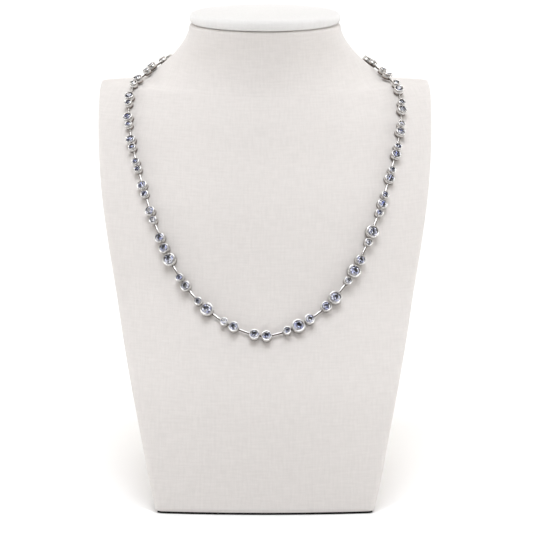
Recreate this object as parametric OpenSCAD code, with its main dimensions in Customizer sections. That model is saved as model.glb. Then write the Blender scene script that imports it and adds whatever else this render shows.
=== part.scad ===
// Cubic zirconia station necklace on a linen-covered neck bust.
// Origin on the floor in the middle of the footprint, +Z up, the chest faces -Y.

/* [Bust] */
// Distance from the middle of the footprint back to the neck's axis
neck_y = 46.9; // [40:0.1:52]
// Radius of the rounded side edges
edge_r = 3; // [2:0.5:3.5]

/* [Neck disc] */
// Diameter of the round plate on top of the neck
disc_d = 70; // [64:1:74]
// Thickness of the plate at its middle
disc_t = 5.4; // [4.8:0.1:6.5]
// Radius of the plate's rounded edge
disc_round = 2.2; // [1:0.1:2.3]
// Height of the plate's flat underside
disc_z = 199.95; // [199.92:0.01:200.3]

/* [Base pad] */
// Thickness of the dark pad under the base
pad_t = 1; // [0.6:0.1:1]
// How far the pad's edge stays inside the base
pad_inset = 0.8; // [0.3:0.1:3]

/* [Necklace] */
// Diameter of the small stones
stone_s = 2.8; // [2.7:0.1:2.9]
// Diameter of the middle stones
stone_m = 3.7; // [3.5:0.1:3.9]
// Diameter of the large stones
stone_l = 4.5; // [4.3:0.1:4.8]
// Wall of the small and middle cups
wall_t = 0.35; // [0.3:0.01:0.4]
// Wall of the large cups
wall_l = 0.6; // [0.5:0.01:0.65]
// Diameter of the bars between groups of stones
bar_d = 0.9; // [0.7:0.05:1.1]
// Space between the cups of one group
pair_gap = 0.75; // [0.5:0.05:0.9]
// Space between a cup's foot and the cloth
foot_gap = 0.25; // [0.22:0.01:0.4]
// How far the middle of the necklace hangs to the left of the bust's middle
mid_shift = 2; // [0:0.5:3]

/* [Clasp] */
// Length of the clasp behind the neck
clasp_len = 8; // [6:0.5:9]
// Diameter of the clasp
clasp_d = 3; // [2.8:0.1:3.4]

/* [Hidden] */
linen = [0.86, 0.84, 0.82];
silver = [0.82, 0.82, 0.84];
// sections of the bust from base to neck: height, half width, front at the middle, front at the edge,
// back at the edge, back at the middle, roundness of the front, roundness of the back
sections = [
    [  1.15, 47.9, -134.0, -131.0, -24.0, -21.0, 1.00, 1.00],
    [ 15.0,  51.1, -132.0, -128.0, -20.0, -15.5, 1.00, 1.00],
    [ 32.0,  54.5, -128.5, -122.0, -15.5,  -9.5, 1.00, 1.00],
    [ 50.0,  58.5, -122.0, -112.5, -10.5,  -3.0, 1.00, 1.00],
    [ 68.0,  62.6, -111.0,  -97.0,  -5.0,   4.0, 1.00, 1.00],
    [ 88.0,  66.6,  -98.5,  -80.5,   1.0,  11.5, 1.00, 1.00],
    [108.0,  70.6,  -88.5,  -68.0,   7.0,  19.0, 1.00, 1.00],
    [128.0,  74.1,  -77.0,  -53.5,  12.0,  26.5, 1.05, 1.00],
    [146.0,  76.2,  -62.0,  -34.5,  17.0,  33.0, 1.15, 1.05],
    [158.0,  77.0,  -53.0,  -19.5,  20.0,  37.0, 1.25, 1.10],
    [165.0,  77.2,  -47.0,   -7.5,  21.0,  39.0, 1.30, 1.15],
    [169.2,  77.0,  -43.4,    1.5,  20.5,  39.6, 1.26, 1.15],
    [170.9,  75.7,  -42.0,    6.5,  19.0,  39.6, 1.18, 1.10],
    [171.6,  68.0,  -41.5,   10.0,  15.0,  39.4, 0.90, 1.00],
    [173.1,  59.0,  -40.5,   11.4,  12.6,  39.0, 0.70, 0.95],
    [176.0,  53.0,  -39.0,    9.4,  10.6,  38.0, 0.67, 0.85],
    [180.5,  47.4,  -37.4,    6.4,   7.6,  36.6, 0.68, 0.72],
    [186.0,  41.9,  -35.9,    3.0,   4.2,  35.4, 0.62, 0.60],
    [191.8,  37.7,  -35.0,    0.4,   1.6,  34.8, 0.53, 0.53],
    [196.3,  35.6,  -34.8,   -0.6,   0.6,  34.5, 0.50, 0.50],
    [198.4,  35.2,  -34.6,   -0.6,   0.6,  34.4, 0.50, 0.50],
    [199.4,  34.5,  -33.9,   -0.6,   0.6,  33.7, 0.50, 0.50],
    [199.8,  33.2,  -32.6,   -0.6,   0.6,  32.4, 0.50, 0.50]
];
ring_steps = 36;
rings_per_section = 2;
// least flat part of a sheet's edge, and the small steps that measure the skin's slope
edge_flat = 0.3;
sweep_step = 0.5;
section_step = 0.04;
// how far the plate's middle and its quarter rise over its rim
disc_rise = 0.4;
disc_quarter_rise = 0.3;
// the necklace's line over the bust from the front to the back of the neck:
// section number counted from the base, sweep round the bust from its front, extra lift in mm
line_knots = [
    [ 4.28,   0.0, 0.00],
    [ 4.43,  11.0, 0.00],
    [ 4.89,  25.0, 0.00],
    [ 5.60,  35.2, 0.00],
    [ 6.45,  42.0, 0.00],
    [ 7.50,  48.4, 0.05],
    [ 8.50,  52.6, 0.00],
    [ 9.50,  53.6, 0.15],
    [12.50,  55.6, 0.30],
    [13.10,  60.6, 0.65],
    [14.25,  73.0, 0.80],
    [15.40,  90.0, 0.05],
    [15.65, 112.0, 0.50],
    [15.00, 141.0, 0.00],
    [14.50, 158.0, 0.10],
    [14.30, 180.0, 0.00]
];
line_steps = 16;
// half the length over which the line's direction is taken
aim_step = 0.5;
// groups of stones from the middle of the front outwards, small, middle and large, a bar after each group
left_groups = ["M", "MS", "LS", "MS", "LMM", "SM", "SM", "SS", "SM", "SM", "SM", "SM", "SM",
    "SM", "SM", "SM", "SM"];
right_groups = ["M", "SLM", "ML", "SLM", "SL", "SMS", "MS", "MS", "MS", "MS", "MS", "MS",
    "SM", "SM", "SM", "SM"];
// heights in a cup from its foot: floor, chain line, stone's edge, turned-in lip, rim
floor_t = 0.3;
line_z = 1.2;
girdle_z = 2.6;
lip_z = 2.9;
rim_z = 3.02;
// clear space round a stone, how far the lip covers it, small bevels
stone_clear = 0.1;
lip = 0.12;
bevel = 0.12;
foot_bevel = 0.5;
// stone: thickness of its edge, slopes of its crown and pavilion, width of its table
girdle_t = 0.06;
crown_a = 34.5;
pavilion_a = 40.75;
table_ratio = 0.57;
low_ratio = 0.24;
// joints: ball heads caught behind drilled walls
ball_r = 0.5;
hole_r = 0.4;
neck_r = 0.25;
bar_clear = 0.15;
// clasp: end wall, how deep a ball sits, depth and radius of a socket, radius of its hole
clasp_wall = 0.3;
clasp_ball = 0.95;
socket_h = 1.7;
socket_r = 0.9;
clasp_hole_r = 0.45;
// facets of the turned parts and of the plate
round_fn = 48;
disc_fn = 144;

// curve through p and q with slopes m and n, at u from 0 to 1
function blend(p, q, m, n, u) =
    (2 * u ^ 3 - 3 * u ^ 2 + 1) * p + (u ^ 3 - 2 * u ^ 2 + u) * m
    + (3 * u ^ 2 - 2 * u ^ 3) * q + (u ^ 3 - u ^ 2) * n;
function unit(v) = v / norm(v);

// section i of the bust, with one more beyond each end
function section_row(i) =
    i < 0 ? 2 * sections[0] - sections[1]
    : i < len(sections) ? sections[i]
    : 2 * sections[len(sections) - 1] - sections[len(sections) - 2];
// the bust's section at any number t, smooth through all of the rows
function section_at(t) =
    let (i = min(max(floor(t), 0), len(sections) - 2))
    blend(section_row(i), section_row(i + 1), (section_row(i + 1) - section_row(i - 1)) / 2,
        (section_row(i + 2) - section_row(i)) / 2, t - i);
// depth of a sheet from the section's middle line at x: a bulge plus a rounded edge
function sheet(x, w, rise, half_t, k) =
    let (s = min(abs(x) / w, 1), e = min(edge_r, half_t - edge_flat))
    let (q = min(max((abs(x) - w + edge_r) / edge_r, 0), 1))
    rise * max(1 - s * s, 0) ^ k + half_t - e + e * sqrt(1 - q * q);
// point of the front or back sheet of section t, where x = half width * sin(a)
function sheet_point(t, a, front) =
    let (r = section_at(t), x = r[1] * sin(a), mid = (r[3] + r[4]) / 2)
    [x, neck_y + (front ? mid - sheet(x, r[1], r[3] - r[2], mid - r[3], r[6])
        : mid + sheet(x, r[1], r[5] - r[4], r[4] - mid, r[7])), r[0]];
// point of the bust's skin at section t and sweep a, 0 at the front, 90 at the side, 180 at the back
function skin(t, a) = sheet_point(t, a, cos(a) >= 0);
// outward direction of the skin there
function outward(t, a) =
    unit(cross(skin(t, a + sweep_step) - skin(t, a - sweep_step),
        skin(t + section_step, a) - skin(t - section_step, a)));
// closed outline of section t
function outline(t) = concat(
    [for (i = [0 : ring_steps]) sheet_point(t, -90 + 180 * i / ring_steps, true)],
    [for (i = [0 : ring_steps]) sheet_point(t, 90 - 180 * i / ring_steps, false)]);

// knot k of the closed line: its place above the skin and its outward direction
half_n = len(line_knots) - 1;
knot_n = 2 * half_n;
function knot_row(k) =
    let (j = k % knot_n)
    j <= half_n ? line_knots[j]
    : [line_knots[knot_n - j][0], 360 - line_knots[knot_n - j][1], line_knots[knot_n - j][2]];
knot_dirs = [for (k = [0 : knot_n - 1]) outward(knot_row(k)[0], knot_row(k)[1])];
knot_points = [for (k = [0 : knot_n - 1])
    skin(knot_row(k)[0], knot_row(k)[1]) + (line_z + foot_gap + knot_row(k)[2]) * knot_dirs[k]];
// value of list a between knots k and k + 1, with slopes that suit the uneven spans
function on_line(a, k, u) =
    let (k0 = (k + knot_n - 1) % knot_n, k1 = (k + 1) % knot_n, k2 = (k + 2) % knot_n)
    let (d0 = norm(knot_points[k] - knot_points[k0]), d1 = norm(knot_points[k1] - knot_points[k]),
        d2 = norm(knot_points[k2] - knot_points[k1]))
    let (m = (d0 * (a[k1] - a[k]) / d1 + d1 * (a[k] - a[k0]) / d0) / (d0 + d1) * d1,
        n = (d1 * (a[k2] - a[k1]) / d2 + d2 * (a[k1] - a[k]) / d1) / (d1 + d2) * d1)
    blend(a[k], a[k1], m, n, u);
line_n = knot_n * line_steps;
line_points = [for (i = [0 : line_n])
    on_line(knot_points, floor(i / line_steps) % knot_n, (i % line_steps) / line_steps)];
line_dirs = [for (i = [0 : line_n])
    on_line(knot_dirs, floor(i / line_steps) % knot_n, (i % line_steps) / line_steps)];
// running length at each point of the line, paired with the point's number
line_lengths = [for (i = 0, s = 0; i <= line_n;
    s = s + (i < line_n ? norm(line_points[i + 1] - line_points[i]) : 0), i = i + 1) [s, i]];
line_total = line_lengths[line_n][0];
function list_at(a, f) =
    let (i = min(floor(f), line_n - 1))
    a[i] + (f - i) * (a[i + 1] - a[i]);
function number_at(s) = lookup((s + line_total) % line_total, line_lengths);
function place(s) = list_at(line_points, number_at(s));
// frame of a cup at length s: along the line, across it, outward
function frame_at(s) =
    let (along = unit(place(s + aim_step) - place(s - aim_step)), rough = list_at(line_dirs, number_at(s)))
    let (up = unit(rough - (rough * along) * along))
    [along, cross(up, along), up];

// letters of a run of groups, in order, each with 1 where a bar goes before it
function run(groups) = [for (g = [0 : len(groups) - 1]) for (c = [0 : len(groups[g]) - 1])
    [groups[g][c], g > 0 && c == 0 ? 1 : 0]];
left_run = run(left_groups);
right_run = run(right_groups);
function stone_r(c) = (c == "S" ? stone_s : c == "M" ? stone_m : stone_l) / 2;
function cup_r(c) = stone_r(c) + stone_clear + (c == "L" ? wall_l : wall_t);
// where a link meets a cup: the cup's radius and how far its ball head sits from the middle
function cup_end(c) = [cup_r(c), stone_r(c) - ball_r];
function sum(a) = [for (v = a) 1] * a;
run_widths = [for (v = concat(left_run, right_run)) 2 * cup_r(v[0])];
bar_total = sum([for (v = concat(left_run, right_run)) v[1]]) + 2;
pair_total = len(run_widths) + 1 - bar_total;
// space that a bar fills, so that the whole necklace closes round the line
bar_gap = (line_total - sum(run_widths) - clasp_len - pair_total * pair_gap) / bar_total;
// lengths along a run at which its cups sit, the first one beside the middle gap
function stations(a) = [for (i = 0, s = pair_gap / 2 + cup_r(a[0][0]); i < len(a);
    s = s + (i + 1 < len(a) ? cup_r(a[i][0]) + cup_r(a[i + 1][0])
        + (a[i + 1][1] == 1 ? bar_gap : pair_gap) : 0), i = i + 1) s];
left_s = [for (s = stations(left_run)) -s - mid_shift];
right_s = [for (s = stations(right_run)) s - mid_shift];
clasp_s = right_s[len(right_s) - 1] + cup_r(right_run[len(right_run) - 1][0]) + bar_gap + clasp_len / 2;

// moves a child to point p with its Z along the direction d
module aim(p, d) {
    side = unit(cross(abs(d[2]) > 0.9 ? [1, 0, 0] : [0, 0, 1], d));
    over = cross(d, side);
    multmatrix([[side[0], over[0], d[0], p[0]], [side[1], over[1], d[1], p[1]],
        [side[2], over[2], d[2], p[2]]]) children();
}
// moves a child to the foot of the cup at length s
module seat(s) {
    f = frame_at(s);
    p = place(s) - line_z * f[2];
    multmatrix([[f[0][0], f[1][0], f[2][0], p[0]], [f[0][1], f[1][1], f[2][1], p[1]],
        [f[0][2], f[1][2], f[2][2], p[2]]]) children();
}

// turned cup with a closed floor and a lip over the stone's edge
module cup(c) {
    r = stone_r(c);
    inner = r + stone_clear;
    outer = cup_r(c);
    rotate_extrude($fn = round_fn) polygon([
        [0, 0], [outer - foot_bevel, 0], [outer - bevel, bevel], [outer, foot_bevel],
        [outer, rim_z - bevel], [outer - bevel, rim_z],
        [r - lip + bevel / 2, rim_z], [r - lip, rim_z - bevel / 2], [r - lip, lip_z],
        [inner, girdle_z + bevel], [inner, floor_t], [0, floor_t]]);
}
// cups of one run, each drilled towards its neighbours a and b
module cups(letters, lengths, first, last) {
    for (i = [0 : len(letters) - 1]) {
        p = place(lengths[i]);
        a = i == 0 ? first : place(lengths[i - 1]);
        b = i == len(letters) - 1 ? last : place(lengths[i + 1]);
        from = stone_r(letters[i][0]) - hole_r;
        reach = cup_r(letters[i][0]) + hole_r - from;
        difference() {
            seat(lengths[i]) cup(letters[i][0]);
            aim(p, unit(a - p)) translate([0, 0, from]) cylinder(r = hole_r, h = reach, $fn = round_fn);
            aim(p, unit(b - p)) translate([0, 0, from]) cylinder(r = hole_r, h = reach, $fn = round_fn);
        }
    }
}

// corners of a round brilliant of radius r, its upper girdle edge at height 0
function ring8(r, z, a) = [for (i = [0 : 7]) [r * cos(45 * i + a), r * sin(45 * i + a), z]];
function ring16(r, z) = [for (i = [0 : 15]) [r * cos(22.5 * i), r * sin(22.5 * i), z]];
function brilliant(r) =
    let (tr = table_ratio * r, star_r = (tr * cos(22.5) + r) / 2, low_r = low_ratio * r)
    concat(
        ring8(tr, (r - tr) * tan(crown_a), 0),
        ring8(star_r, (r - star_r * cos(22.5)) * tan(crown_a), 22.5),
        ring16(r, 0),
        ring16(r, -girdle_t),
        ring8(low_r, -girdle_t - (r - low_r * cos(22.5)) * tan(pavilion_a), 22.5),
        [[0, 0, -girdle_t - r * tan(pavilion_a)]]);
// its facets: table, stars, kites, upper halves, girdle, lower halves, mains
brilliant_faces = concat(
    [[7, 6, 5, 4, 3, 2, 1, 0]],
    [for (i = [0 : 7]) [i, (i + 1) % 8, 8 + i]],
    [for (i = [0 : 7]) [i, 8 + i, 16 + 2 * i, 8 + (i + 7) % 8]],
    [for (i = [0 : 7]) [8 + i, 16 + 2 * i + 1, 16 + 2 * i]],
    [for (i = [0 : 7]) [8 + i, 16 + (2 * i + 2) % 16, 16 + 2 * i + 1]],
    [for (i = [0 : 15]) [16 + i, 16 + (i + 1) % 16, 32 + (i + 1) % 16, 32 + i]],
    [for (i = [0 : 7]) [48 + i, 32 + 2 * i, 32 + 2 * i + 1]],
    [for (i = [0 : 7]) [48 + i, 32 + 2 * i + 1, 32 + (2 * i + 2) % 16]],
    [for (i = [0 : 7]) [32 + 2 * i, 48 + i, 56, 48 + (i + 7) % 8]]);
module stones(letters, lengths) {
    for (i = [0 : len(letters) - 1]) seat(lengths[i]) translate([0, 0, girdle_z + girdle_t])
        polyhedron(brilliant(stone_r(letters[i][0])), brilliant_faces);
}

// half profile of a link's ball head with a small flat end, centred at height 0, up to its neck
flat_a = 15;
ball_steps = 5;
neck_a = 180 - asin(neck_r / ball_r);
function ball_arc(side) = concat([[0, -side * ball_r * cos(flat_a)]],
    [for (i = [0 : ball_steps]) let (a = flat_a + i * (neck_a - flat_a) / ball_steps)
        [ball_r * sin(a), -side * ball_r * cos(a)]]);
// link between p and q, whose ends a and b give an outer radius and a ball's place,
// with a bar where there is room for one
module link(p, q, a, b, bar) {
    far = norm(q - p);
    low = a[0] + bar_clear;
    high = far - b[0] - bar_clear;
    shaft = bar ? [[neck_r, low], [bar_d / 2 - bevel, low], [bar_d / 2, low + bevel],
        [bar_d / 2, high - bevel], [bar_d / 2 - bevel, high], [neck_r, high]] : [];
    tail = ball_arc(-1);
    aim(p, (q - p) / far) rotate_extrude($fn = round_fn) polygon(concat(
        [for (v = ball_arc(1)) [v[0], v[1] + a[1]]], shaft,
        [for (i = [ball_steps + 1 : -1 : 0]) [tail[i][0], tail[i][1] + far - b[1]]]));
}
// links of one run, and the last one to the clasp's end at p
module links(letters, lengths, p) {
    for (i = [1 : len(letters) - 1])
        link(place(lengths[i - 1]), place(lengths[i]), cup_end(letters[i - 1][0]),
            cup_end(letters[i][0]), letters[i][1] == 1);
    end = len(letters) - 1;
    link(place(lengths[end]), p, cup_end(letters[end][0]), [0, -clasp_ball], true);
}

// middles of the clasp's end faces
clasp_right = place(clasp_s - clasp_len / 2);
clasp_left = place(clasp_s + clasp_len / 2);

module bust_body() {
    count = (len(sections) - 1) * rings_per_section;
    around = 2 * (ring_steps + 1);
    rings = [for (j = [0 : count]) outline(j / rings_per_section)];
    base_mid = (rings[0][0] + rings[0][ring_steps]) / 2;
    top_mid = (rings[count][0] + rings[count][ring_steps]) / 2;
    corners = concat([for (r = rings) for (p = r) p], [base_mid, top_mid]);
    end = (count + 1) * around;
    walls = [for (j = [0 : count - 1]) for (i = [0 : around - 1])
        let (a = j * around + i, b = j * around + (i + 1) % around)
        each [[a, b + around, b], [a, a + around, b + around]]];
    base = [for (i = [0 : around - 1]) [end, i, (i + 1) % around]];
    top = [for (i = [0 : around - 1])
        [end + 1, count * around + (i + 1) % around, count * around + i]];
    color(linen) polyhedron(corners, concat(walls, base, top));
}

module neck_disc() {
    turn = disc_d / 2 - disc_round;
    rim_top = disc_t - disc_rise;
    edge = [for (a = [-90 : 15 : 0]) [turn + disc_round * cos(a), disc_round * (1 + sin(a))]];
    crown = [for (a = [15 : 15 : 90]) [turn + disc_round * cos(a), rim_top - disc_round * (1 - sin(a))]];
    color(linen) translate([0, neck_y, disc_z]) rotate_extrude($fn = disc_fn)
        polygon(concat([[0, 0]], edge, crown, [[disc_d / 4, rim_top + disc_quarter_rise], [0, disc_t]]));
}

module base_pad() {
    r = sections[0];
    color([0.2, 0.2, 0.2]) linear_extrude(pad_t)
        offset(delta = -pad_inset) polygon([for (p = outline(0)) [p[0], p[1]]]);
}

module settings_left() {
    color(silver) cups(left_run, left_s, place(right_s[0]), clasp_left);
}

module settings_right() {
    color(silver) cups(right_run, right_s, place(left_s[0]), clasp_right);
}

module stones_left() {
    color([0.75, 0.78, 0.9]) stones(left_run, left_s);
}

module stones_right() {
    color([0.75, 0.78, 0.9]) stones(right_run, right_s);
}

module links_left() {
    color(silver) {
        link(place(right_s[0]), place(left_s[0]), cup_end(right_run[0][0]),
            cup_end(left_run[0][0]), false);
        links(left_run, left_s, clasp_left);
    }
}

module links_right() {
    color(silver) links(right_run, right_s, clasp_right);
}

// plain barrel with a socket in each end
module clasp() {
    r = clasp_d / 2;
    h = norm(clasp_left - clasp_right);
    end_r = r - foot_bevel;
    color(silver) aim(clasp_right, (clasp_left - clasp_right) / h) rotate_extrude($fn = round_fn)
        polygon([
            [0, socket_h], [socket_r, socket_h], [socket_r, clasp_wall],
            [clasp_hole_r, clasp_wall], [clasp_hole_r, 0], [end_r, 0],
            [r - bevel, bevel], [r, foot_bevel], [r, h - foot_bevel], [r - bevel, h - bevel],
            [end_r, h], [clasp_hole_r, h], [clasp_hole_r, h - clasp_wall],
            [socket_r, h - clasp_wall], [socket_r, h - socket_h], [0, h - socket_h]]);
}

bust_body();
neck_disc();
base_pad();
settings_left();
settings_right();
stones_left();
stones_right();
links_left();
links_right();
clasp();
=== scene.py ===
import bpy
import math
import numpy as np
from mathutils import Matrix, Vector


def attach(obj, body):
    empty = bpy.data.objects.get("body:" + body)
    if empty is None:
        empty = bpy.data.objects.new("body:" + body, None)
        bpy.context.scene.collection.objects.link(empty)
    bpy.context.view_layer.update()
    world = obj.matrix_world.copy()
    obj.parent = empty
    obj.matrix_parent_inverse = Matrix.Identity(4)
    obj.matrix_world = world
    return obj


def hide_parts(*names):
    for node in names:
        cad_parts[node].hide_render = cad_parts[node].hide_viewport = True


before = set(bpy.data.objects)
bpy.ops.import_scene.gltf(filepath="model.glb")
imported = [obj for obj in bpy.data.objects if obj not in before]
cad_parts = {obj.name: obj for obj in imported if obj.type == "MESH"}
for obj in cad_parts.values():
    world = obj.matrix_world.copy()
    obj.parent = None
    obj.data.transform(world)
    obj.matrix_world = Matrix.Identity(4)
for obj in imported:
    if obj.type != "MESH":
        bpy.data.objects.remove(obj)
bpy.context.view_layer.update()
mm = 0.001
print("frame loaded:", sorted(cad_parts))

# bust, in mm; a section is height, half width, front at the middle, front at the edge,
# back at the edge, back at the middle, roundness of the front, roundness of the back
bust = {
    "neckY": 46.9,  # middle of the neck, behind the origin
    "edgeR": 3.0,  # rounding of the side edges
    "edgeFlat": 0.3,  # half thickness that the rounding leaves where an edge is thin
    "slopeSteps": (0.04, 0.008),  # section number and radians between which a slope is taken
    "ringsPerSection": 9,
    "pointsPerSheet": 104,
    "endCloth": (0.05, 0.02),  # metres of cloth pattern from the base's and the top's edge to its middle
    "sections": np.array([
        [1.15, 47.9, -134.0, -131.0, -24.0, -21.0, 1.00, 1.00],
        [15.0, 51.1, -132.0, -128.0, -20.0, -15.5, 1.00, 1.00],
        [32.0, 54.5, -128.5, -122.0, -15.5, -9.5, 1.00, 1.00],
        [50.0, 58.5, -122.0, -112.5, -10.5, -3.0, 1.00, 1.00],
        [68.0, 62.6, -111.0, -97.0, -5.0, 4.0, 1.00, 1.00],
        [88.0, 66.6, -98.5, -80.5, 1.0, 11.5, 1.00, 1.00],
        [108.0, 70.6, -88.5, -68.0, 7.0, 19.0, 1.00, 1.00],
        [128.0, 74.1, -77.0, -53.5, 12.0, 26.5, 1.05, 1.00],
        [146.0, 76.2, -62.0, -34.5, 17.0, 33.0, 1.15, 1.05],
        [158.0, 77.0, -53.0, -19.5, 20.0, 37.0, 1.25, 1.10],
        [165.0, 77.2, -47.0, -7.5, 21.0, 39.0, 1.30, 1.15],
        [169.2, 77.0, -43.4, 1.5, 20.5, 39.6, 1.26, 1.15],
        [170.9, 75.7, -42.0, 6.5, 19.0, 39.6, 1.18, 1.10],
        [171.6, 68.0, -41.5, 10.0, 15.0, 39.4, 0.90, 1.00],
        [173.1, 59.0, -40.5, 11.4, 12.6, 39.0, 0.70, 0.95],
        [176.0, 53.0, -39.0, 9.4, 10.6, 38.0, 0.67, 0.85],
        [180.5, 47.4, -37.4, 6.4, 7.6, 36.6, 0.68, 0.72],
        [186.0, 41.9, -35.9, 3.0, 4.2, 35.4, 0.62, 0.60],
        [191.8, 37.7, -35.0, 0.4, 1.6, 34.8, 0.53, 0.53],
        [196.3, 35.6, -34.8, -0.6, 0.6, 34.5, 0.50, 0.50],
        [198.4, 35.2, -34.6, -0.6, 0.6, 34.4, 0.50, 0.50],
        [199.4, 34.5, -33.9, -0.6, 0.6, 33.7, 0.50, 0.50],
        [199.8, 33.2, -32.6, -0.6, 0.6, 32.4, 0.50, 0.50],
    ]),
}


# cubic through p and q with slopes m and n, at u from 0 to 1
def blendCurve(p, q, m, n, u):
    return ((2 * u**3 - 3 * u**2 + 1) * p + (u**3 - 2 * u**2 + u) * m
            + (3 * u**2 - 2 * u**3) * q + (u**3 - u**2) * n)


# section at any number t: cubic through the rows, whose slopes are half the step between the neighbours;
# a row is added before the first and after the last by mirroring its neighbour
def sectionAt(t):
    rows = bust["sections"]
    padded = np.vstack([2 * rows[:1] - rows[1:2], rows, 2 * rows[-1:] - rows[-2:-1]])
    t = np.asarray(t, float)
    i = np.clip(np.floor(t).astype(int), 0, len(rows) - 2)
    u = (t - i)[..., None]
    p0, p1, p2, p3 = padded[i], padded[i + 1], padded[i + 2], padded[i + 3]
    return blendCurve(p1, p2, (p2 - p0) / 2, (p3 - p1) / 2, u)


# depth of a sheet at x: rise * (1 - (x / w)^2)^k, plus half the edge's thickness,
# rounded off over the last edgeR of the width by a quarter circle
def sheetDepth(x, w, rise, half, k):
    s = np.minimum(np.abs(x) / w, 1)
    r = np.minimum(bust["edgeR"], half - bust["edgeFlat"])
    q = np.clip((np.abs(x) - w + bust["edgeR"]) / bust["edgeR"], 0, 1)
    return rise * np.maximum(1 - s * s, 0) ** k + half - r + r * np.sqrt(1 - q * q)


# point of the front or back sheet of section t in mm: x = half width * sin(a),
# y = the edge's middle less the front sheet's depth or plus the back sheet's
def sheetPoint(t, a, front):
    row = np.moveaxis(sectionAt(t), -1, 0)
    z, w, frontMid, frontEdge, backEdge, backMid, kFront, kBack = row
    x = w * np.sin(a)
    mid = (frontEdge + backEdge) / 2
    yFront = mid - sheetDepth(x, w, frontEdge - frontMid, mid - frontEdge, kFront)
    yBack = mid + sheetDepth(x, w, backMid - backEdge, backEdge - mid, kBack)
    return np.stack([x, bust["neckY"] + np.where(front, yFront, yBack), z], -1)


# skin of the bust at section t and sweep a in radians, 0 at the front and pi at the back
def skin(t, a):
    return sheetPoint(t, a, np.cos(a) >= 0)


# outward direction there, from the cross product of two small steps on the skin
def outward(t, a):
    dt, da = bust["slopeSteps"]
    n = np.cross(skin(t, a + da) - skin(t, a - da), skin(t + dt, a) - skin(t - dt, a))
    return n / np.linalg.norm(n, axis=-1, keepdims=True)


# mesh object from arrays of points and of faces with 3 or 4 corners:
# a face's first corner is the sum of the sizes of the faces before it
def meshFrom(name, points, faceLists, smooth=True, uv=None):
    mesh = bpy.data.meshes.new(name)
    sizes = np.concatenate([np.full(len(f), f.shape[1]) for f in faceLists])
    corners = np.concatenate([f.ravel() for f in faceLists]).astype(np.int32)
    starts = np.concatenate([[0], np.cumsum(sizes)[:-1]])
    mesh.vertices.add(len(points))
    mesh.vertices.foreach_set("co", np.ascontiguousarray(points, np.float32).ravel())
    mesh.loops.add(len(corners))
    mesh.loops.foreach_set("vertex_index", corners)
    mesh.polygons.add(len(sizes))
    mesh.polygons.foreach_set("loop_start", starts.astype(np.int32))
    mesh.polygons.foreach_set("loop_total", sizes.astype(np.int32))
    mesh.polygons.foreach_set("use_smooth", np.full(len(sizes), smooth))
    if uv is not None:
        layer = mesh.uv_layers.new(name="cloth")
        layer.data.foreach_set("uv", uv[corners].astype(np.float32).ravel())
    mesh.update(calc_edges=True)
    mesh.validate()
    obj = bpy.data.objects.new(name, mesh)
    bpy.context.scene.collection.objects.link(obj)
    return obj


# faces of a tube of rings, closed round each ring, with a fan at each end to a middle point:
# point i of ring j has the number j * around + i
def ringFaces(rings, around, lowMid, highMid):
    j, i = np.meshgrid(np.arange(rings - 1), np.arange(around), indexing="ij")
    a = (j * around + i).ravel()
    b = (j * around + (i + 1) % around).ravel()
    walls = np.stack([a, b, b + around, a + around], 1)
    k = np.arange(around)
    top = (rings - 1) * around
    low = np.stack([np.full(around, lowMid), (k + 1) % around, k], 1)
    high = np.stack([np.full(around, highMid), top + k, top + (k + 1) % around], 1)
    return walls, np.vstack([low, high])


# the bust: rings of sheetPoint(t, a), the front sheet from side to side and then the back one,
# stacked from the base to the neck
def makeBust():
    last = len(bust["sections"]) - 1
    count = last * bust["ringsPerSection"] + 1
    n = bust["pointsPerSheet"]
    t = np.linspace(0, last, count)
    a = np.linspace(-math.pi / 2, math.pi / 2, n)
    tt, aa = np.meshgrid(t, a, indexing="ij")
    ring = np.concatenate([sheetPoint(tt, aa, True), sheetPoint(tt, -aa, False)], 1) * mm
    around = ring.shape[1]
    mids = np.stack([ring[0].mean(0), ring[-1].mean(0)])
    points = np.vstack([ring.reshape(-1, 3), mids])
    # cloth coordinates in metres: length round each ring from its front, length up the rings' fronts
    step = np.linalg.norm(np.diff(ring, axis=1), axis=-1)
    across = np.concatenate([np.zeros((count, 1)), np.cumsum(step, 1)], 1)
    across = across - across[:, n // 2: n // 2 + 1]
    rise = np.linalg.norm(np.diff(ring[:, n // 2], axis=0), axis=-1)
    up = np.concatenate([[0], np.cumsum(rise)])[:, None] + np.zeros_like(across)
    baseCloth, topCloth = bust["endCloth"]
    uv = np.vstack([np.stack([across, up], -1).reshape(-1, 2),
                    [[0, -baseCloth], [0, up.max() + topCloth]]])
    walls, caps = ringFaces(count, around, len(points) - 2, len(points) - 1)
    return meshFrom("bustCloth", points, [walls, caps], uv=uv)


bustCloth = makeBust()
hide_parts("bust_body")
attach(bustCloth, "root")
print("bust:", len(bustCloth.data.polygons), "faces")

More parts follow.
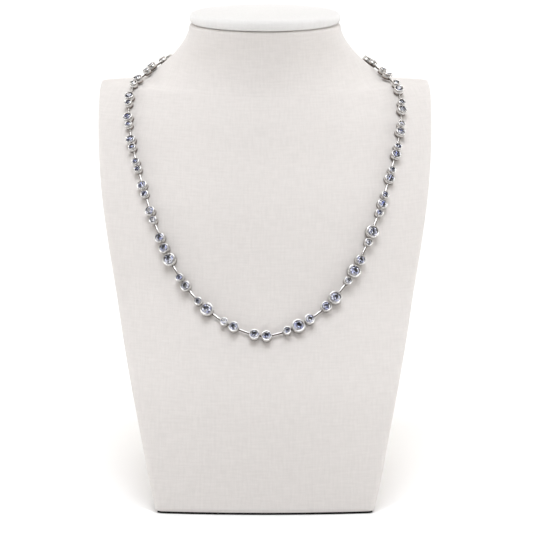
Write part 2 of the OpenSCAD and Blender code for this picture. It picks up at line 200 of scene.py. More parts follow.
# necklace, in mm; a knot of its line is section number, sweep in degrees and extra lift over the skin;
# a group is a run of cups that sit close together, S small, M middle and L large, from the front outwards
necklace = {
    "knots": np.array([
        [4.28, 0.0, 0.00], [4.43, 11.0, 0.00], [4.89, 25.0, 0.00], [5.60, 35.2, 0.00],
        [6.45, 42.0, 0.00], [7.50, 48.4, 0.05], [8.50, 52.6, 0.00], [9.50, 53.6, 0.15],
        [12.50, 55.6, 0.30], [13.10, 60.6, 0.65], [14.25, 73.0, 0.80], [15.40, 90.0, 0.05],
        [15.65, 112.0, 0.50], [15.00, 141.0, 0.00], [14.50, 158.0, 0.10], [14.30, 180.0, 0.00],
    ]),
    "stepsPerKnot": 16,
    "leftGroups": ["M", "MS", "LS", "MS", "LMM", "SM", "SM", "SS"] + ["SM"] * 9,
    "rightGroups": ["M", "SLM", "ML", "SLM", "SL", "SMS"] + ["MS"] * 6 + ["SM"] * 4,
    "stone": {"S": 1.4, "M": 1.85, "L": 2.25},  # radius of a stone
    "wall": {"S": 0.35, "M": 0.35, "L": 0.6},  # thickness of its cup's wall
    "stoneClear": 0.1,  # room between stone and wall
    "footGap": 0.25,  # room between cup and skin
    "lineZ": 1.2,  # height of the line over the cups' feet
    "aimStep": 0.5,  # length before and after a cup between which it is aimed
    "pairGap": 0.75,  # gap between the cups of a group
    "midShift": 2.0,  # how far the first gap lies left of the middle
    "claspLength": 8.0,
}


# closed line of the necklace: lifted knots on the skin, joined by cubics, and its mirror image behind;
# returns points, outward directions and the length so far
def necklaceLine():
    half = necklace["knots"]
    back = half[-2:0:-1] * [1, -1, 1] + [0, 360, 0]
    rows = np.vstack([half, back])
    a = np.radians(rows[:, 1])
    dirs = outward(rows[:, 0], a)
    lift = necklace["lineZ"] + necklace["footGap"] + rows[:, 2:3]
    knots = skin(rows[:, 0], a) + lift * dirs
    n, steps = len(rows), necklace["stepsPerKnot"]
    k = np.repeat(np.arange(n), steps)
    u = np.tile(np.arange(steps) / steps, n)[:, None]
    span = np.linalg.norm(np.roll(knots, -1, 0) - knots, axis=1)[:, None]
    d0, d1, d2 = span[k - 1], span[k], span[(k + 1) % n]

    # cubic through the knots' values v: a slope is the mean of its two chords' slopes,
    # each weighted by the other chord's span
    def through(v):
        p0, p1, p2, p3 = v[k - 1], v[k], v[(k + 1) % n], v[(k + 2) % n]
        m1 = (d0 * (p2 - p1) / d1 + d1 * (p1 - p0) / d0) / (d0 + d1) * d1
        m2 = (d1 * (p3 - p2) / d2 + d2 * (p2 - p1) / d1) / (d1 + d2) * d1
        return blendCurve(p1, p2, m1, m2, u)

    line, lean = through(knots), through(dirs)
    line, lean = np.vstack([line, line[:1]]), np.vstack([lean, lean[:1]])
    run = np.concatenate([[0], np.cumsum(np.linalg.norm(np.diff(line, axis=0), axis=1))])
    return line, lean, run


linePoints, lineLean, lineRun = necklaceLine()
lineLength = lineRun[-1]


# values of a list that runs along the line, at lengths s: linear between its points, round and round
def alongLine(values, s):
    s = np.mod(s, lineLength)
    return np.stack([np.interp(s, lineRun, values[:, j]) for j in range(3)], -1)


# cup frames at lengths s: place, then unit vectors along the line, across it and outward;
# outward is the line's lean less its part along the line
def cupFrames(s):
    s = np.asarray(s, float)
    step = necklace["aimStep"]
    along = alongLine(linePoints, s + step) - alongLine(linePoints, s - step)
    along = along / np.linalg.norm(along, axis=1, keepdims=True)
    up = alongLine(lineLean, s)
    up = up - (up * along).sum(1, keepdims=True) * along
    up = up / np.linalg.norm(up, axis=1, keepdims=True)
    return alongLine(linePoints, s), np.stack([along, np.cross(up, along), up], -1)


# outer radius of a cup: stone, room round it and wall
def cupR(letter):
    return necklace["stone"][letter] + necklace["stoneClear"] + necklace["wall"][letter]


# letters and lengths of the cups of one run, from the front outwards, and whether a bar comes before each:
# a cup lies both radii and a gap further on than the one before it
def runOf(groups, barGap):
    letters, lengths, bars = [], [], []
    for g, group in enumerate(groups):
        for c, letter in enumerate(group):
            bar = g > 0 and c == 0
            if letters:
                gap = barGap if bar else necklace["pairGap"]
                lengths.append(lengths[-1] + cupR(letters[-1]) + cupR(letter) + gap)
            else:
                lengths.append(necklace["pairGap"] / 2 + cupR(letter))
            letters.append(letter)
            bars.append(bar)
    return letters, np.array(lengths), bars


# the bars share what cups, close gaps and clasp leave of the line
allLetters = "".join(necklace["leftGroups"] + necklace["rightGroups"])
barCount = len(necklace["leftGroups"]) + len(necklace["rightGroups"])
pairCount = len(allLetters) + 1 - barCount
barGap = (lineLength - sum(2 * cupR(c) for c in allLetters) - necklace["claspLength"]
          - pairCount * necklace["pairGap"]) / barCount
leftLetters, leftS, leftBars = runOf(necklace["leftGroups"], barGap)
rightLetters, rightS, rightBars = runOf(necklace["rightGroups"], barGap)
leftS = -leftS - necklace["midShift"]
rightS = rightS - necklace["midShift"]
claspS = rightS[-1] + cupR(rightLetters[-1]) + barGap + necklace["claspLength"] / 2
claspRight, claspLeft = alongLine(linePoints, np.array(
    [claspS - necklace["claspLength"] / 2, claspS + necklace["claspLength"] / 2]))
print("necklace: %.1f mm round, bars fill %.2f mm, %d cups" % (lineLength, barGap, len(allLetters)))

# painted highlight on turned pieces, bright on the lit side and dark below: gain * cosine to the lit side -
# start, kept between 0 and 1
paintedHighlight = {"gain": 5.0, "start": 3.6}


# turned pieces: each profile of (radius, height) rows turned round its own axis and set in its frame,
# point = place + radius * (cos a * side + sin a * over) + height * axis; both profile ends lie on the axis
def turned(name, profiles, places, frames, around, polishAndPaintedLight, paintedLightSide=None):
    count, rows = profiles.shape[:2]
    a = np.linspace(0, 2 * math.pi, around, endpoint=False)
    side, over, axis = frames[:, :, 0], frames[:, :, 1], frames[:, :, 2]
    spokes = np.cos(a)[:, None] * side[:, None] + np.sin(a)[:, None] * over[:, None]
    inner = profiles[:, 1:-1]
    rings = (places[:, None, None] + inner[:, :, None, 0:1] * spokes[:, None]
             + inner[:, :, None, 1:2] * axis[:, None, None])
    ends = places[:, None] + profiles[:, [0, -1], 1:2] * axis[:, None]
    points = np.concatenate([rings.reshape(count, -1, 3), ends], 1) * mm
    per = points.shape[1]
    shift = (np.arange(count) * per)[:, None, None]
    faces = [(part + shift).reshape(-1, part.shape[1])
             for part in ringFaces(rows - 2, around, per - 2, per - 1)]
    obj = meshFrom(name, points.reshape(-1, 3), faces)
    # tone per point: the profile's tone with its painted shade, times the painted highlight where a lit side
    # is given
    shineAndPaintedShade = np.broadcast_to(polishAndPaintedLight, (count, rows))
    ringToneAndPaintedLight = np.repeat(shineAndPaintedShade[:, 1:-1, None], around, 2)
    if paintedLightSide is not None:
        across = paintedLightSide - (paintedLightSide * axis).sum(-1, keepdims=True) * axis
        across = across / np.linalg.norm(across, axis=1, keepdims=True)
        cosine = (spokes * across[:, None]).sum(-1)
        ringToneAndPaintedLight = ringToneAndPaintedLight * np.clip(paintedHighlight["gain"] * cosine - paintedHighlight["start"], 0, 1)[:, None]
    values = np.concatenate([ringToneAndPaintedLight.reshape(count, -1), shineAndPaintedShade[:, [0, -1]]], 1)
    layer = obj.data.attributes.new("polishAndPaintedLight", "FLOAT", "POINT")
    layer.data.foreach_set("value", values.astype(np.float32).ravel())
    return obj


# n points of a round corner: (x + r cos a, z + r sin a), from angle a0 to a1 in degrees
def corner(x, z, r, a0, a1, n):
    a = np.radians(np.linspace(a0, a1, n))
    return np.stack([x + r * np.cos(a), z + r * np.sin(a)], -1)


# bezel cup, in mm: rounded foot, straight wall, groove under the rounded rim, lip over the stone's edge
cupShape = {
    "foot": 0.42, "underside": 0.3,  # rounding of the foot, and how far inside it the flat underside ends
    "wallZ": 1.2,  # height below which the wall is painted dark, painted shade next to the cloth
    "grooveZ": 2.27, "grooveWidth": 0.24, "grooveDepth": 0.12, "grooveSlope": 0.05,
    "top": 3.02, "lip": 0.12, "lipZ": 2.9,
    "girdleZ": 2.6, "overGirdle": 0.12, "floor": 0.3,
    "footPoints": 7, "rimPoints": 13, "around": 48,
    "rimShineAndPaintedShade": ([0, 1, 7, 9, 12], [0.3, 1.0, 1.0, 0.1, 0.0]),  # points round the rim, and their tone: dark at both edges, a painted outline of shade
    # tones along the outline: the underside, foot, lower wall, groove and the lip's underside are painted
    # dark as shade, the rest is bright metal
    "shineAndPaintedShade": {"under": 0.0, "foot": 0.05, "wall": [0.5, 0.95], "groove": 0.15, "inside": 0.9},
}


# half outline of a cup as (radius, height, tone) rows, from its underside's middle round to its floor:
# a quarter circle at the foot, a half circle at the rim, straight lines between; a low tone is painted shade
def cupProfile(letter):
    c, shineAndPaintedShade = cupShape, cupShape["shineAndPaintedShade"]
    r = necklace["stone"][letter]
    outer = cupR(letter)
    inner = r + necklace["stoneClear"]
    half = (outer - r + c["lip"]) / 2
    low, deep = c["grooveZ"] - c["grooveWidth"] / 2, outer - c["grooveDepth"]
    high = low + c["grooveWidth"]
    rimShineAndPaintedShade = np.interp(np.arange(c["rimPoints"]), *c["rimShineAndPaintedShade"])

    # the rows with their tone, painted shade where it is low, as a third column
    def shaded(rows, polishAndPaintedLight):
        return np.column_stack([rows, np.broadcast_to(polishAndPaintedLight, len(rows))])

    return np.vstack([
        shaded([[0, 0], [outer - c["foot"] - c["underside"], 0]], shineAndPaintedShade["under"]),
        shaded(corner(outer - c["foot"], c["foot"], c["foot"], -90, 0, c["footPoints"]), shineAndPaintedShade["foot"]),
        shaded([[outer, c["wallZ"]], [outer, low - c["grooveSlope"]]], shineAndPaintedShade["wall"]),
        shaded([[deep, low], [deep, high]], shineAndPaintedShade["groove"]),
        shaded([[outer, high + c["grooveSlope"]]], shineAndPaintedShade["wall"][1]),
        shaded(corner(outer - half, c["top"] - half, half, 0, 180, c["rimPoints"]), rimShineAndPaintedShade),
        shaded([[r - c["lip"], c["lipZ"]]], shineAndPaintedShade["under"]),
        shaded([[inner, c["girdleZ"] + c["overGirdle"]], [inner, c["floor"]], [0, c["floor"]]],
               shineAndPaintedShade["inside"])])


# cups along the line at the given lengths; each foot's middle = place - lineZ * outward
def makeCups(name, letters, lengths):
    place, turn = cupFrames(lengths)
    profiles = np.stack([cupProfile(c) for c in letters])
    feet = place - necklace["lineZ"] * turn[:, :, 2]
    return turned(name, profiles[:, :, :2], feet, turn, cupShape["around"], profiles[:, :, 2])


# frames whose third vector runs from p to q; the first is square to it and to a fixed slant
def aimed(p, q):
    slant = np.array([0.3, 0.2, 1.0])
    axis = (q - p) / np.linalg.norm(q - p, axis=1, keepdims=True)
    side = np.cross(slant, axis)
    side = side / np.linalg.norm(side, axis=1, keepdims=True)
    return np.stack([side, np.cross(axis, side), axis], -1)


# links, in mm: ball heads caught in the cups' walls, thin necks, and between them a bar or a knot; necks,
# heads and knots are painted dark as shade between the cups
linkShape = {
    "ball": 0.5, "claspBall": 0.95,  # radius of a ball head, and how deep the last one sits in the clasp
    "neck": 0.25, "bar": 0.45, "knot": 0.5,  # radii
    "clear": 0.12, "round": 0.16,  # gap from bar to cup, and rounding of the bar's ends
    "ballSweep": (72, 60),  # degrees of a ball head towards its tip and towards its neck
    "ballPoints": 8, "roundPoints": 4, "around": 24,
    "lean": 0.4, "rise": 0.9,  # shares of outward and of straight up in the side that gets the painted highlight
}


# half outline of a link as (radius, height, tone) rows: arc, neck, bar with round corners, neck, arc;
# the ends a and b give a cup's radius and its ball's place; tone 0 is painted shade, a bar's shaft is 1
def linkProfile(far, a, b, bar):
    c = linkShape
    r = c["bar"] if bar else c["knot"]
    bend = c["round"]
    start, end = a[1], far - b[1]
    low, high = a[0] + c["clear"], far - b[0] - c["clear"]
    tip, root = c["ballSweep"]
    first = np.vstack([[[0, start - c["ball"]]], corner(0, start, c["ball"], -tip, root, c["ballPoints"]),
                       [[c["neck"], low]]])
    shaft = np.vstack([corner(r - bend, low + bend, bend, -90, 0, c["roundPoints"]),
                       corner(r - bend, high - bend, bend, 0, 90, c["roundPoints"])])
    last = np.vstack([[[c["neck"], high]], corner(0, end, c["ball"], -root, tip, c["ballPoints"]),
                      [[0, end + c["ball"]]]])
    polishAndPaintedLight = np.repeat([0.0, float(bar), 0.0], [len(first), len(shaft), len(last)])
    return np.column_stack([np.vstack([first, shaft, last]), polishAndPaintedLight])


# radius of a cup, and how far from its middle a ball head sits: stone radius less ball radius
def cupEnd(letter):
    return cupR(letter), necklace["stone"][letter] - linkShape["ball"]


# links from each cup to the next and from the last cup to the clasp, and one between the two front cups;
# an axis runs from middle to middle, and the painted highlight faces lean * outward + rise * up
def makeLinks(name, letters, lengths, bars, claspEnd, frontCups=None):
    p = cupFrames(lengths)[0]
    q = np.vstack([p[1:], claspEnd])
    s = lengths
    ends = [(cupEnd(a), cupEnd(b), bar) for a, b, bar in zip(letters[:-1], letters[1:], bars[1:])]
    ends.append((cupEnd(letters[-1]), (0, -linkShape["claspBall"]), True))
    if frontCups is not None:
        p, q = np.vstack([p, frontCups[:1]]), np.vstack([q, frontCups[1:]])
        s = np.append(s, s[-1:])
        ends.append((cupEnd(letters[0]), cupEnd(letters[0]), False))
    far = np.linalg.norm(q - p, axis=1)
    profiles = np.stack([linkProfile(f, *e) for f, e in zip(far, ends)])
    paintedLightSide = linkShape["lean"] * alongLine(lineLean, s) + [0, 0, linkShape["rise"]]
    paintedLightSide = paintedLightSide / np.linalg.norm(paintedLightSide, axis=1, keepdims=True)
    return turned(name, profiles[:, :, :2], p, aimed(p, q), linkShape["around"], profiles[:, :, 2], paintedLightSide)


settingsLeft = makeCups("settingsLeft", leftLetters, leftS)
settingsRight = makeCups("settingsRight", rightLetters, rightS)
frontCups = cupFrames(np.array([rightS[0], leftS[0]]))[0]
linksLeft = makeLinks("linksLeft", leftLetters, leftS, leftBars, claspLeft, frontCups)
linksRight = makeLinks("linksRight", rightLetters, rightS, rightBars, claspRight)
for piece, node in ((settingsLeft, "settings_left"), (settingsRight, "settings_right"),
                    (linksLeft, "links_left"), (linksRight, "links_right")):
    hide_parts(node)
    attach(piece, "root")
print("settings:", len(settingsLeft.data.polygons) + len(settingsRight.data.polygons), "faces")

# clasp, in mm: a barrel with rounded ends and an open socket in each end
claspShape = {
    "r": 1.5, "round": 0.6,
    "hole": 0.45, "holeEdge": 0.05, "lip": 0.3,  # hole in an end face, its soft edge, and its depth
    "socketR": 0.9, "socketDepth": 1.7,
    "roundPoints": 8, "around": 48, "polishAndPaintedLight": 0.9,
}


# the outline goes from the bottom of one socket out to its end face, along the barrel by a quarter
# circle at each end, and into the other socket, which is the first one's mirror image
def makeClasp():
    c = claspShape
    length = float(np.linalg.norm(claspLeft - claspRight))
    low = corner(c["r"] - c["round"], c["round"], c["round"], -90, 0, c["roundPoints"])
    high = corner(c["r"] - c["round"], length - c["round"], c["round"], 0, 90, c["roundPoints"])
    socket = np.array([[0, c["socketDepth"]], [c["socketR"], c["socketDepth"]], [c["socketR"], c["lip"]],
                       [c["hole"], c["lip"]], [c["hole"], c["holeEdge"]], [c["hole"] + c["holeEdge"], 0]])
    mirrored = (socket * [1, -1] + [0, length])[::-1]
    outline = np.vstack([socket, low, high, mirrored])
    turn = aimed(claspRight[None], claspLeft[None])
    return turned("claspBarrel", outline[None], claspRight[None], turn, c["around"], c["polishAndPaintedLight"])


claspBarrel = makeClasp()
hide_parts("clasp")
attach(claspBarrel, "root")

# plate on the neck, in mm: flat underside, round edge, a slight dome on top
disc = {
    "r": 35.0, "round": 2.2, "z": 199.95, "thick": 5.4, "dome": 0.4,
    "underRings": (8.0, 20.0),  # radii of the rings in the underside
    "edgePoints": 14, "domeFrom": 84,  # degrees up the upper edge where the dome takes over
    "domeRings": 16, "firstRing": 0.05,  # share of the radius from the edge to the first ring
    "around": 160,
}


# quarter circles at the lower and upper edge, then the dome, at a share u of the way to the middle:
# height = the edge's + what is left of the thickness * (1 - (1 - u)^2)
def makeDisc():
    c = disc
    edge = c["r"] - c["round"]
    low = corner(edge, c["round"], c["round"], -90, 0, c["edgePoints"])
    high = corner(edge, c["thick"] - c["dome"] - c["round"], c["round"], 0, c["domeFrom"], c["edgePoints"])
    startR, startZ = high[-1]
    u = np.linspace(c["firstRing"], 1, c["domeRings"])[:, None]
    dome = np.hstack([startR * (1 - u), startZ + (c["thick"] - startZ) * (1 - (1 - u) ** 2)])
    outline = np.vstack([[[0, 0]], [[r, 0] for r in c["underRings"]], low, high, dome])
    place = np.array([[0, bust["neckY"], c["z"]]])
    return turned("discCloth", outline[None], place, np.eye(3)[None], c["around"], 1.0)


discCloth = makeDisc()
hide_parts("neck_disc")
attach(discCloth, "root")
print("disc, clasp and links made")


# one math node, operation(values), whose inputs are numbers or other nodes' outputs
def mathNode(tree, operation, *values, clamp=False):
    node = tree.nodes.new("ShaderNodeMath")
    node.operation = operation
    node.use_clamp = clamp
    for i, value in enumerate(values):
        if isinstance(value, (int, float)):
            node.inputs[i].default_value = value
        else:
            tree.links.new(value, node.inputs[i])
    return node.outputs[0]


# any node of a material, with its inputs and settings given by name
def addNode(tree, kind, **values):
    node = tree.nodes.new(kind)
    for key, value in values.items():
        if key in node.inputs:
            node.inputs[key].default_value = value
        else:
            setattr(node, key, value)
    return node


# material with a shader whose fixed values are given; returns material, tree and shader
def newMaterial(name, values):
    mat = bpy.data.materials.new(name)
    mat.use_nodes = True
    tree = mat.node_tree
    shader = tree.nodes["Principled BSDF"]
    for key, value in values.items():
        shader.inputs[key].default_value = value
    return mat, tree, shader


# noise at the object's own points, its scale in features per metre
def objectNoise(tree, values):
    coords = tree.nodes.new("ShaderNodeTexCoord")
    noise = addNode(tree, "ShaderNodeTexNoise", **values)
    tree.links.new(coords.outputs["Object"], noise.inputs["Vector"])
    return noise.outputs["Fac"]


# the shader's colour: a value looked up between (position, colour) stops
def addRamp(tree, shader, value, stops):
    ramp = tree.nodes.new("ShaderNodeValToRGB")
    elements = ramp.color_ramp.elements
    elements[0].position, elements[0].color = stops[0]
    elements[1].position, elements[1].color = stops[-1]
    for position, colour in stops[1:-1]:
        elements.new(position).color = colour
    tree.links.new(value, ramp.inputs["Fac"])
    tree.links.new(ramp.outputs["Color"], shader.inputs["Base Color"])


# the shader's bump: a height value, with (strength, metres)
def addBump(tree, shader, height, bump):
    node = addNode(tree, "ShaderNodeBump", Strength=bump[0], Distance=bump[1])
    tree.links.new(height, node.inputs["Height"])
    tree.links.new(node.outputs["Normal"], shader.inputs["Normal"])


# linen of the bust and of the plate
linen = {
    "surface": {"Roughness": 0.88, "Specular IOR Level": 0.25, "Sheen Weight": 0.50, "Sheen Roughness": 0.40},
    "threadMm": 0.42,
    "slubLengthMm": 7.0,
    "slubWidth": 2.2,  # threads across a slub
    "slubNoise": {"Scale": 1.0, "Detail": 2.0, "Roughness": 0.6},
    "push": 2.4,  # radians that a slub pushes its threads aside
    "gapTone": 0.10, "toneScale": 0.72,  # share of threads and gaps in the tone, and the tone's scale
    "toneStops": (0.55, 1.0),
    "colours": {"bust": [(0.800, 0.762, 0.736), (0.862, 0.822, 0.796)],
                "disc": [(0.880, 0.868, 0.855), (0.920, 0.910, 0.897)]},
    "slubHeight": 1.6, "bump": (0.35, 0.00012),
}


# linen: two sets of threads, each a sine across its own direction pushed about by stretched noise;
# colour between the two ends by the slubs and by the gaps between the threads
def makeLinen(name, colours, useUv):
    mat, tree, shader = newMaterial(name, linen["surface"])
    link = tree.links.new
    coords = tree.nodes.new("ShaderNodeTexCoord")
    source = coords.outputs["UV"]
    if not useUv:
        # an eighth of a turn puts the threads across the plate's rim as well as on its top
        root2 = math.sqrt(2)
        eighthTurn = addNode(tree, "ShaderNodeMapping", Rotation=(math.pi / 4, 0, 0), Scale=(1, root2, root2))
        link(coords.outputs["Object"], eighthTurn.inputs["Vector"])
        source = eighthTurn.outputs["Vector"]
    parts = tree.nodes.new("ShaderNodeSeparateXYZ")
    link(source, parts.inputs["Vector"])
    thread = linen["threadMm"] * mm
    slub = 1 / (linen["slubLengthMm"] * mm)
    fine = 1 / (linen["slubWidth"] * thread)
    heights, slubs = [], []
    for axis, stretch in ((0, (fine, slub, slub)), (1, (slub, fine, fine))):
        mapping = addNode(tree, "ShaderNodeMapping", Scale=stretch)
        link(source, mapping.inputs["Vector"])
        noise = addNode(tree, "ShaderNodeTexNoise", **linen["slubNoise"])
        link(mapping.outputs["Vector"], noise.inputs["Vector"])
        push = mathNode(tree, "MULTIPLY", noise.outputs["Fac"], linen["push"])
        phase = mathNode(tree, "MULTIPLY_ADD", parts.outputs[axis], 2 * math.pi / thread, push)
        heights.append(mathNode(tree, "SINE", phase))
        slubs.append(noise.outputs["Fac"])
    weave = mathNode(tree, "MAXIMUM", *heights)
    slubSum = mathNode(tree, "ADD", *slubs)
    tone = mathNode(tree, "MULTIPLY_ADD", weave, linen["gapTone"], slubSum)
    stops = [(position, (*colour, 1)) for position, colour in zip(linen["toneStops"], colours)]
    addRamp(tree, shader, mathNode(tree, "MULTIPLY", tone, linen["toneScale"]), stops)
    height = mathNode(tree, "MULTIPLY_ADD", slubSum, linen["slubHeight"], weave)
    addBump(tree, shader, height, linen["bump"])
    return mat


# silver, from a brown dark end, both tarnish and painted warm shade, to bright metal
silver = {
    "surface": {"Metallic": 1.0},
    "tones": [(0.0, (0.085, 0.062, 0.048, 1)), (0.22, (0.36, 0.32, 0.29, 1)),
              (0.55, (0.68, 0.665, 0.65, 1)), (1.0, (0.86, 0.855, 0.85, 1))],
    "roughness": (0.36, 0.24),  # of the dark end and of bright metal
    "marks": 0.22, "marksMiddle": 0.6,  # polishing marks: depth in the tone, and the noise that leaves it
    "marksNoise": {"Scale": 900.0, "Detail": 4.0, "Roughness": 0.55},
    "paintedShadeReach": 0.0009, "paintedShadePower": 1.6, "paintedShadeSamples": 8,  # how far the occlusion reaches that paints shade into hollows and near touching parts
    "bump": (0.08, 0.00005),
}


# tone = the tone attribute, with its painted shade and highlight, * occlusion openness^power as painted shade
# in hollows
# + marks * (noise - marksMiddle), kept between 0 and 1; it sets colour and roughness, and the noise also the
#   bump
def makeSilver():
    mat, tree, shader = newMaterial("silverMetal", silver["surface"])
    link = tree.links.new
    marks = objectNoise(tree, silver["marksNoise"])
    shift = mathNode(tree, "MULTIPLY_ADD", marks, silver["marks"], -silver["marksMiddle"] * silver["marks"])
    paintedShadeAO = addNode(tree, "ShaderNodeAmbientOcclusion", samples=silver["paintedShadeSamples"], only_local=True,
                     Distance=silver["paintedShadeReach"])
    openness = mathNode(tree, "POWER", paintedShadeAO.outputs["AO"], silver["paintedShadePower"])
    polishAndPaintedLight = addNode(tree, "ShaderNodeAttribute", attribute_name="polishAndPaintedLight")
    tone = mathNode(tree, "MULTIPLY_ADD", polishAndPaintedLight.outputs["Fac"], openness, shift, clamp=True)
    addRamp(tree, shader, tone, silver["tones"])
    rough = tree.nodes.new("ShaderNodeMapRange")
    rough.inputs["To Min"].default_value, rough.inputs["To Max"].default_value = silver["roughness"]
    link(tone, rough.inputs["Value"])
    link(rough.outputs["Result"], shader.inputs["Roughness"])
    addBump(tree, shader, marks, silver["bump"])
    return mat


# stones: clear, strongly refracting, with a faint violet and blue cast
stones = {
    "surface": {"IOR": 2.16, "Transmission Weight": 1.0, "Roughness": 0.0},
    "castNoise": {"Scale": 900.0, "Detail": 1.0},
    "casts": [(0.36, (0.36, 0.42, 0.92, 1)), (0.48, (0.76, 0.79, 1.0, 1)), (0.57, (0.98, 0.98, 1.0, 1))],
}


# the cast is noise at the stone's own points, looked up between the casts
def makeStone():
    mat, tree, shader = newMaterial("clearStone", stones["surface"])
    addRamp(tree, shader, objectNoise(tree, stones["castNoise"]), stones["casts"])
    return mat


# pad: matte felt with a fine nap, near-black so that it also paints the shadow line under the base
pad = {
    "surface": {"Roughness": 0.95, "Specular IOR Level": 0.1},
    "napNoise": {"Scale": 1800.0, "Detail": 3.0},
    "tones": [(0.35, (0.012, 0.012, 0.013, 1)), (0.7, (0.035, 0.034, 0.034, 1))],
    "bump": (0.4, 0.0002),
}


# the nap is noise at the pad's own points, in colour and in bump
def makeShadowLinePad():
    mat, tree, shader = newMaterial("padFeltShadowLine", pad["surface"])
    nap = objectNoise(tree, pad["napNoise"])
    addRamp(tree, shader, nap, pad["tones"])
    addBump(tree, shader, nap, pad["bump"])
    return mat


# gives an object one material, keeping the slots that a frame node already has
def dress(obj, mat):
    if len(obj.material_slots):
        for slot in obj.material_slots:
            slot.material = mat
    else:
        obj.data.materials.append(mat)


silverMetal = makeSilver()
clearStone = makeStone()
dress(bustCloth, makeLinen("bustLinen", linen["colours"]["bust"], True))
dress(discCloth, makeLinen("discLinen", linen["colours"]["disc"], False))
for piece in (settingsLeft, settingsRight, linksLeft, linksRight, claspBarrel):
    dress(piece, silverMetal)
for name in ("stones_left", "stones_right"):
    dress(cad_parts[name], clearStone)
dress(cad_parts["base_pad"], makeShadowLinePad())
print("materials set")

# pale floor under a soft dome of light, with a row of lit panels and gaps that polished things mirror
studio = {
    "floorReach": 20.0,  # metres from the middle to each side
    "floorSurface": {"Base Color": (0.97, 0.97, 0.97, 1), "Roughness": 0.9, "Specular IOR Level": 0.0},
    "dome": {"up": 0.50, "front": 0.80, "back": 1.46, "colour": (1.03, 1.0, 0.96, 1)},
    "backdrop": (1, 1, 1, 1),  # what the camera sees behind the floor
    "panelScales": (5.2, 3.3), "panelGap": 0.30,  # two checkers, and the share of light between their panels
    "dimElevation": 28.0, "dimHalfAngle": 29.0, "dimLight": 0.04,  # dark round part of the dome in front
    "key": {"from": (0.0, -0.3, 1.2), "power": 1.62, "spread": 36, "colour": (0.97, 1.0, 1.045)},
    "sides": {"from": (1.0, 0.1, 0.1), "left": 0.725, "right": 0.744, "spread": 30},
}
reach = studio["floorReach"]
floorPoints = np.array([[-reach, -reach, 0], [reach, -reach, 0], [reach, reach, 0], [-reach, reach, 0]])
studioFloor = meshFrom("studioFloor", floorPoints, [np.array([[0, 1, 2, 3]])], smooth=False)
dress(studioFloor, newMaterial("floorPaper", studio["floorSurface"])[0])

# camera: 1.5 m away, 11 degrees above the level, looking at the middle of the chest
view = {"distance": 1.5, "elevation": 11.0, "target": (0.0007, -0.0031, 0.0943),
        "lens": 222.2, "sensor": 36.0, "clip": (0.01, 60)}


# direction at an elevation in degrees in the middle plane, towards the front: (0, -cos, sin)
def frontward(elevation):
    angle = math.radians(elevation)
    return Vector((0, -math.cos(angle), math.sin(angle)))


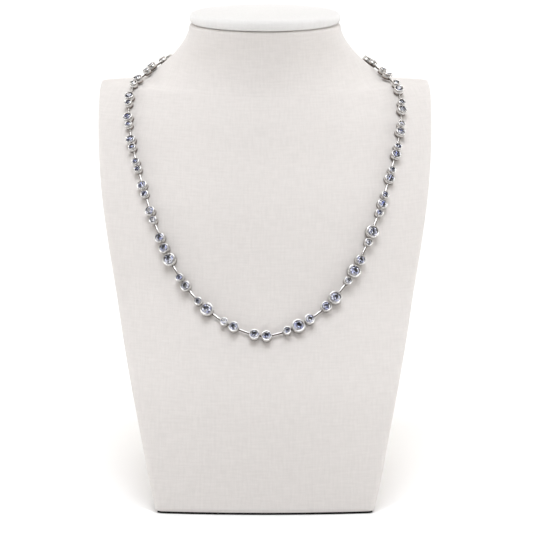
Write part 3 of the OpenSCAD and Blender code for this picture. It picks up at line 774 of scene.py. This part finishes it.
# dome: light = sum over three directions of strength * max(cosine to it, 0), shared out by panels and
# gaps; directions round the dim one keep dimLight of it, and rays from the camera see the backdrop
def makeWorld():
    world = bpy.data.worlds.new("softStudio")
    bpy.context.scene.world = world
    world.use_nodes = True
    tree = world.node_tree
    background = tree.nodes["Background"]
    where = tree.nodes.new("ShaderNodeTexCoord").outputs["Generated"]
    parts = tree.nodes.new("ShaderNodeSeparateXYZ")
    tree.links.new(where, parts.inputs["Vector"])
    light = 0.0
    for side, axis, sign in (("up", "Z", 1), ("front", "Y", -1), ("back", "Y", 1)):
        share = mathNode(tree, "MULTIPLY", parts.outputs[axis], sign * studio["dome"][side])
        light = mathNode(tree, "ADD", light, mathNode(tree, "MAXIMUM", share, 0.0))
    panels = 1.0
    for scale in studio["panelScales"]:
        checker = addNode(tree, "ShaderNodeTexChecker", Scale=scale)
        tree.links.new(where, checker.inputs["Vector"])
        panels = mathNode(tree, "MULTIPLY", checker.outputs["Fac"], panels)
    gap = studio["panelGap"]
    panelLight = 2 ** len(studio["panelScales"]) * (1 - gap)  # each checker halves the lit part
    shares = mathNode(tree, "MULTIPLY_ADD", panels, panelLight, gap)
    dot = addNode(tree, "ShaderNodeVectorMath", operation="DOT_PRODUCT")
    tree.links.new(where, dot.inputs[0])
    dot.inputs[1].default_value = frontward(studio["dimElevation"])
    dimEdge = math.cos(math.radians(studio["dimHalfAngle"]))
    near = mathNode(tree, "GREATER_THAN", dot.outputs["Value"], dimEdge)
    dim = mathNode(tree, "MULTIPLY_ADD", near, studio["dimLight"] - 1, 1.0)
    light = mathNode(tree, "MULTIPLY", mathNode(tree, "MULTIPLY", light, shares), dim)
    seen = tree.nodes.new("ShaderNodeLightPath").outputs["Is Camera Ray"]
    unseen = mathNode(tree, "SUBTRACT", 1.0, seen)
    strength = mathNode(tree, "ADD", mathNode(tree, "MULTIPLY", light, unseen), seen)
    tree.links.new(strength, background.inputs["Strength"])
    colour = addNode(tree, "ShaderNodeMix", data_type="RGBA")
    factor, first, second, result = colour.inputs[0], colour.inputs[6], colour.inputs[7], colour.outputs[2]
    tree.links.new(seen, factor)
    first.default_value = studio["dome"]["colour"]
    second.default_value = studio["backdrop"]
    tree.links.new(result, background.inputs["Color"])


makeWorld()


# sun that shines from a direction towards the middle; its spread is its width in degrees
def addSun(name, power, direction, spread, colour=(1, 1, 1)):
    lamp = bpy.data.lights.new(name, "SUN")
    lamp.energy = power
    lamp.angle = math.radians(spread)
    lamp.color = colour
    obj = bpy.data.objects.new(name, lamp)
    obj.location = direction
    obj.rotation_euler = Vector(direction).to_track_quat("Z", "Y").to_euler()
    obj.visible_camera = False
    bpy.context.scene.collection.objects.link(obj)


keyLight, sides = studio["key"], studio["sides"]
addSun("keySun", keyLight["power"], keyLight["from"], keyLight["spread"], keyLight["colour"])
for sign, side in ((-1, "left"), (1, "right")):
    addSun(side + "Sun", sides[side], (sign * sides["from"][0], *sides["from"][1:]), sides["spread"])

camera = bpy.data.cameras.new("studioCamera")
camera.lens = view["lens"]
camera.sensor_width = view["sensor"]
camera.clip_start, camera.clip_end = view["clip"]
backward = frontward(view["elevation"])
eye = bpy.data.objects.new("studioCamera", camera)
eye.location = Vector(view["target"]) + view["distance"] * backward
eye.rotation_euler = backward.to_track_quat("Z", "Y").to_euler()
bpy.context.scene.collection.objects.link(eye)
bpy.context.scene.camera = eye
bpy.context.scene.view_settings.view_transform = "Standard"
print("studio set")
